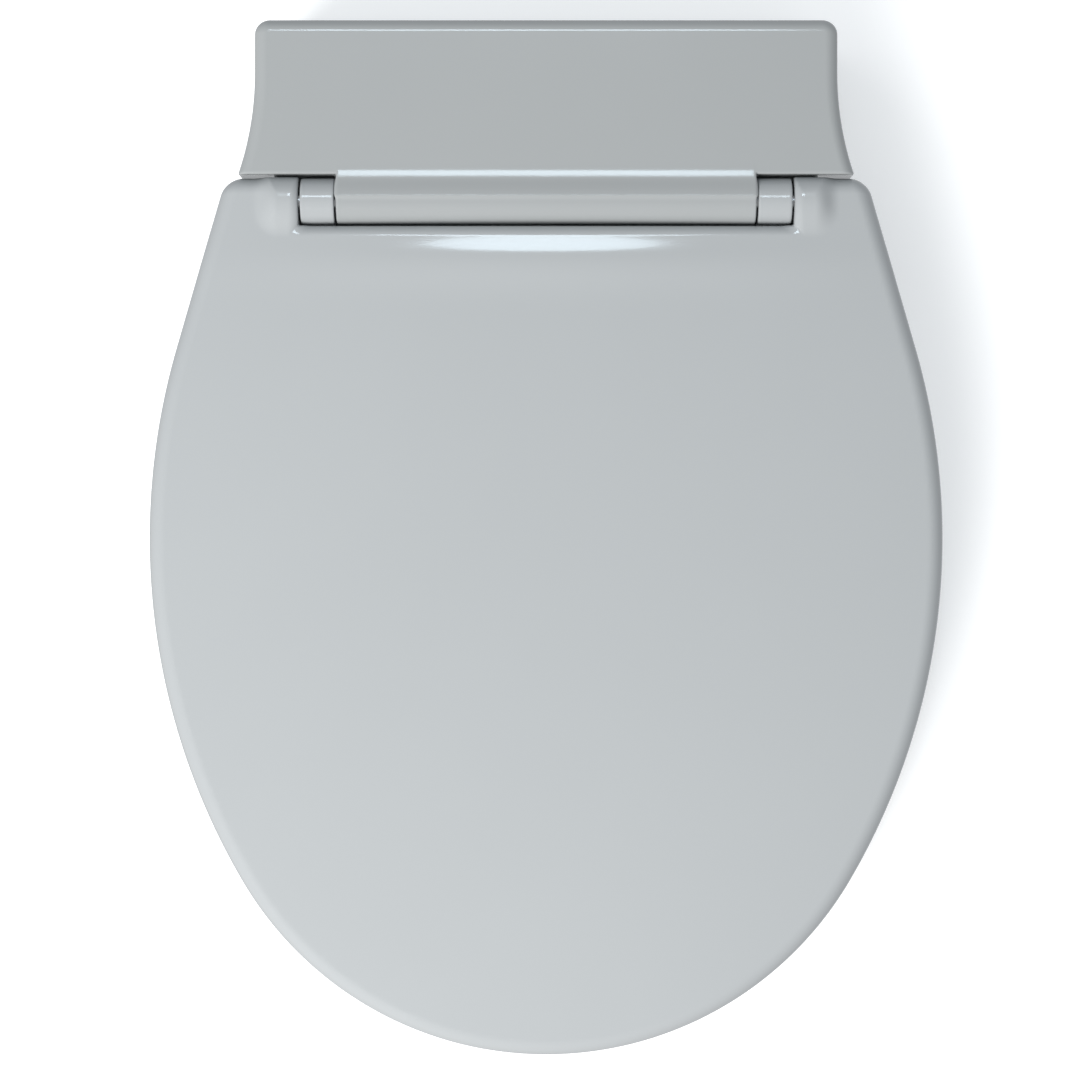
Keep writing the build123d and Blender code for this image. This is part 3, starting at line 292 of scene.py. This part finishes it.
lid = solid(
    "lid_shell",
    lid_distance,
    steps(-192.0, 192.0, GRID, ((-135, -95), (95, 135)), FINE),
    steps(-436.0, -8.0, GRID, ((-46, -8),), FINE),
    steps(28.0, 83.5, FINE),
)
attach(lid, "lid")
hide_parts("lid")


# ---------------------------------------------------------------- seat ring
def hole(x, y, grow=0.0):
    """Plan distance to the oval hole of the ring."""
    a, b = HOLE_A + grow, HOLE_B + grow
    k0 = np.hypot(x / a, (y - HOLE_Y) / b)
    k1 = np.hypot(x / a**2, (y - HOLE_Y) / b**2)
    return k0 * (k0 - 1) / np.maximum(k1, 1e-9)


def seat_underside(x, y, lift=0.0):
    """Height of the ring's underside: low under the ring, high over the deck, in between at the far sides."""
    y0, y1 = SEAT_STEP_Y
    t = np.clip((y - y0) / (y1 - y0), 0, 1)
    middle = SEAT_BASE_Z + (SEAT_REAR_Z - SEAT_BASE_Z) * t
    side = SEAT_BASE_Z + SIDE_RISE * np.clip((y - y0) / (SEAT_REAR_Y - y0), 0, 1)
    return np.where(np.abs(x) < SIDE_X + lift, middle, side) + lift


def seat_distance(x, y, z):
    ax = np.abs(x)
    plan = egg(x, y, SEAT_REAR_Y + SEAT_INSET, 10.0 + SEAT_INSET) + SEAT_INSET
    top = crown(x, y, z) + SEAT_DROP
    rim = round_max(plan, top, SEAT_EDGE_R)
    outer = round_max(rim, -hole(x, y), HOLE_EDGE_R)
    outer = round_max(outer, (seat_underside(x, y) - z) * 0.8, 1.5)
    hollow = round_max(rim + SEAT_WALL, -hole(x, y) + SEAT_WALL, HOLE_EDGE_R - SEAT_WALL)
    floor = seat_underside(x, y, SEAT_WALL) - z
    hollow = np.maximum(hollow, np.where(y > SEAT_STEP_Y[0] - 3, floor, -99.0))
    shell = round_max(outer, -hollow, 0.5)
    ear = bar_x(ax, y, z, EAR_IN, EAR_OUT, HINGE_Y, HINGE_Z, HINGE_R, 0.8)
    arm_low = (EAR_IN, SEAT_REAR_Y - 1.5, HINGE_Z - HINGE_R)
    arm = box(ax, y, z, arm_low, (EAR_OUT, HINGE_Y, HINGE_Z - 1.5), 1.0)
    return round_min(shell, round_min(ear, arm, 1.5), 2.0)


seat = solid(
    "seat_ring",
    seat_distance,
    steps(-187.0, 187.0, GRID, ((-120, -97), (97, 120)), FINE),
    steps(-431.0, -9.0, GRID, ((-46, -9),), FINE),
    steps(9.0, 83.5, 1.2),
)
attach(seat, "seat")
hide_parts("seat_top")


# ---------------------------------------------------------------- rear housing
def flare(y):
    """Half width of the rear block, which widens towards the lid."""
    length = HOUSING_FLARE_Y - HOUSING_FRONT_Y
    spread = HOUSING_FLARE_HALF - HOUSING_HALF
    r = (length**2 + spread**2) / (2 * spread)
    run = np.clip(HOUSING_FLARE_Y - y, 0, length + 2)
    return HOUSING_HALF + r - np.sqrt(r * r - run * run)


def housing_outer(x, y, z):
    ax = np.abs(x)
    side = (ax - flare(y)) * 0.96
    plan = round_max(side, y - REAR_Y, REAR_CORNER_R)
    block = round_max(plan, z - HOUSING_TOP, TOP_EDGE_R)
    block = round_max(block, HOUSING_FRONT_Y - y, 1.2)
    neck = box(ax, y, z, (-200, HINGE_Y - 8, DECK_TOP - 8), (BARREL_HALF, HOUSING_FRONT_Y + 6, HINGE_Z), 0.8)
    bend = np.log1p(np.exp((HOUSING_FRONT_Y + 1.0 - y) / RAMP_SOFTNESS))
    rise = math.tan(RAMP) * RAMP_SOFTNESS * bend
    slope = (z - HOUSING_TOP - rise) * math.cos(RAMP)
    ramp = np.maximum(slope, np.maximum(HINGE_Y + 2.0 - y, y - HOUSING_FRONT_Y - 8.0))
    ramp = round_max(ramp, ax - BARREL_HALF, 0.8)
    neck = np.minimum(neck, np.maximum(ramp, HINGE_Z - z))
    barrel = bar_x(ax, y, z, -200, BARREL_HALF, HINGE_Y, HINGE_Z, HINGE_R, 0.8)
    deck_x = round_max(ax - DECK_HALF, DECK_FRONT_Y - y, DECK_CORNER_R)
    deck = round_max(round_max(deck_x, z - DECK_TOP, 2.5), y - HOUSING_FRONT_Y - 5, 0.5)
    hump = box(ax, y, z, (-200, -60, 20), (23, -20, 48.4), 1.5)
    body = round_min(np.minimum(block, neck), barrel, 3.0)
    return np.minimum(np.minimum(body, deck), hump)


def housing_distance(x, y, z):
    outer = housing_outer(x, y, z)
    shell = np.maximum(outer, -(outer + CASE_WALL))
    shell = round_max(shell, SEAM_Z - z, 0.35)
    bezel = box(x, y, z, (-30, DECK_FRONT_Y - 3, 8), (76, DECK_FRONT_Y + 4, 41), 0.05)
    panel = box(x, y, z, (DECK_HALF - 4, -76, 26), (DECK_HALF + 3, -36, 38), 0.05)
    return np.maximum(np.maximum(shell, -bezel), -panel)


cover = solid(
    "housing_cover",
    housing_distance,
    steps(-149.0, 149.0, GRID, ((-149, -128), (-103, -95), (95, 103), (128, 149)), FINE),
    steps(-109.0, 66.0, GRID, ((-36, -6), (54, 66)), FINE),
    steps(22.0, 84.0, FINE),
)
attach(cover, "base")
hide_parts("rear_cover")


# ---------------------------------------------------------------- materials
def principled(name, colour, roughness, coat=0.0, coat_rough=0.05, metallic=0.0, spec=0.5):
    mat = bpy.data.materials.new(name)
    mat.use_nodes = True
    shader = mat.node_tree.nodes["Principled BSDF"]
    shader.inputs["Base Color"].default_value = (*colour, 1)
    shader.inputs["Roughness"].default_value = roughness
    shader.inputs["Metallic"].default_value = metallic
    shader.inputs["Coat Weight"].default_value = coat
    shader.inputs["Coat Roughness"].default_value = coat_rough
    shader.inputs["Specular IOR Level"].default_value = spec
    return mat, shader


def add_noise(mat, shader, colour, spread, rough, rough_spread, scale, bump_scale, bump):
    """Slight cloudiness of colour and gloss, and a fine surface grain."""
    nodes, links = mat.node_tree.nodes, mat.node_tree.links
    place = nodes.new("ShaderNodeTexCoord")
    cloud = nodes.new("ShaderNodeTexNoise")
    cloud.inputs["Scale"].default_value = scale
    cloud.inputs["Detail"].default_value = 3.0
    links.new(place.outputs["Object"], cloud.inputs["Vector"])
    tone = nodes.new("ShaderNodeValToRGB")
    tone.color_ramp.elements[0].position = 0.3
    tone.color_ramp.elements[1].position = 0.7
    tone.color_ramp.elements[0].color = (*[c * (1 - spread) for c in colour], 1)
    tone.color_ramp.elements[1].color = (*[min(1, c * (1 + spread)) for c in colour], 1)
    links.new(cloud.outputs["Fac"], tone.inputs["Fac"])
    links.new(tone.outputs["Color"], shader.inputs["Base Color"])
    gloss = nodes.new("ShaderNodeMapRange")
    gloss.inputs["To Min"].default_value = rough - rough_spread
    gloss.inputs["To Max"].default_value = rough + rough_spread
    links.new(cloud.outputs["Fac"], gloss.inputs["Value"])
    links.new(gloss.outputs["Result"], shader.inputs["Roughness"])
    grain = nodes.new("ShaderNodeTexNoise")
    grain.inputs["Scale"].default_value = bump_scale
    grain.inputs["Detail"].default_value = 2.0
    links.new(place.outputs["Object"], grain.inputs["Vector"])
    relief = nodes.new("ShaderNodeBump")
    relief.inputs["Strength"].default_value = bump
    relief.inputs["Distance"].default_value = 0.0002
    links.new(grain.outputs["Fac"], relief.inputs["Height"])
    links.new(relief.outputs["Normal"], shader.inputs["Normal"])


def shell_material(name, colour):
    """Polished shell plastic: clear reflections, faint cloudiness."""
    mat, shader = principled(name, colour, 0.11, coat=0.2, coat_rough=0.04)
    add_noise(mat, shader, colour, 0.008, 0.11, 0.02, 9.0, 900.0, 0.03)
    return mat


SHELL = (0.346, 0.360, 0.367)
# the housing is the same white plastic as the lid; its colour is painted darker to stand for the shade on its
# top
HOUSING_SHADED = (0.308, 0.320, 0.322)
shell_mat = shell_material("gloss_white", SHELL)
for obj in (lid, seat):
    obj.data.materials.append(shell_mat)
cover.data.materials.append(shell_material("gloss_white_housing_painted_shade", HOUSING_SHADED))

# every CAD node takes its slot's material: in the white slots the housing's tone, which is the lid's white
# painted darker as shade, the record's colour in the metal ones, and the record's colour darkened to suit
# these lights in all the others
WHITE_SLOTS = ("white_base", "guard", "nozzle", "panel")
METALS = ("brushed_steel", "chrome", "aluminium", "brass")
ROUGHNESS = {
    "gloss_plastic": 0.25,
    "matte_plastic": 0.5,
    "rubber": 0.65,
    "chrome": 0.1,
    "brushed_steel": 0.3,
    "aluminium": 0.3,
    "brass": 0.3,
    "painted_metal": 0.4,
}
BRIGHTNESS = 0.42
for material in frame["record"]["materials"]:
    metal = 1.0 if material["class"] in METALS else 0.0
    scale = 1.0 if metal else BRIGHTNESS
    colour = HOUSING_SHADED if material["slot"] in WHITE_SLOTS else [c * scale for c in material["base_color"][:3]]
    rough = ROUGHNESS[material["class"]]
    mat, shader = principled("slot_" + material["slot"], colour, rough, metallic=metal)
    add_noise(mat, shader, colour, 0.03, rough, 0.05, 14.0, 600.0, 0.1)
    for sub in frame["record"]["subparts"]:
        if sub["material_slot"] == material["slot"]:
            node = frame["nodes"][sub["node"]]
            node.data.materials.clear()
            node.data.materials.append(mat)

# ---------------------------------------------------------------- floor, light and camera
bpy.ops.mesh.primitive_plane_add(size=8.0, location=(0, -0.18, 0))
floor = bpy.context.object
floor.name = "floor"
floor_mat, shader = principled("floor_white", (0.93, 0.93, 0.93), 0.9, spec=0.1)
shader.inputs["Emission Color"].default_value = (1, 1, 1, 1)
shader.inputs["Emission Strength"].default_value = 0.25
floor.data.materials.append(floor_mat)

scene = bpy.context.scene
scene.view_settings.view_transform = "Standard"
world = bpy.data.worlds.new("studio")
world.use_nodes = True
world.node_tree.nodes["Background"].inputs["Color"].default_value = (0.95, 0.975, 1.0, 1)
world.node_tree.nodes["Background"].inputs["Strength"].default_value = 0.62
scene.world = world


def area_light(name, place, target, size, power, colour=(1, 1, 1)):
    data = bpy.data.lights.new(name, "AREA")
    data.shape = "RECTANGLE"
    data.size, data.size_y = size
    data.energy = power
    data.color = colour
    obj = bpy.data.objects.new(name, data)
    obj.location = place
    obj.rotation_euler = (Vector(target) - Vector(place)).to_track_quat("-Z", "Y").to_euler()
    scene.collection.objects.link(obj)
    return obj


key = area_light("key", (-0.85, -1.30, 1.25), (0, -0.3, 0.05), (1.3, 1.3), 44.0, (1.0, 0.99, 0.975))
fill = area_light("fill", (-1.3, 0.3, 1.9), (0, -0.2, 0.05), (1.4, 1.4), 6.0, (0.94, 0.97, 1.0))
window = area_light("window", (-0.02, 1.25, 3.8), (0, -0.04, 0.08), (0.98, 0.56), 17.0, (0.75, 0.90, 1.0))
key.visible_glossy = False
fill.visible_glossy = False
floor.visible_glossy = False
floor.visible_diffuse = False

SENSOR_WIDTH = 36.0
VIEW_WIDTH, VIEW_DISTANCE = 519.5, 1345.0  # the picture is this wide at this distance from the camera
camera_data = bpy.data.cameras.new("camera")
camera = bpy.data.objects.new("camera", camera_data)
camera.location = (-0.0029, -0.1834, 1.4)
camera.rotation_euler = (0, 0, 0)
camera_data.lens = SENSOR_WIDTH * VIEW_DISTANCE / VIEW_WIDTH
camera_data.sensor_width = SENSOR_WIDTH
camera_data.clip_end = 20.0
scene.collection.objects.link(camera)
scene.camera = camera
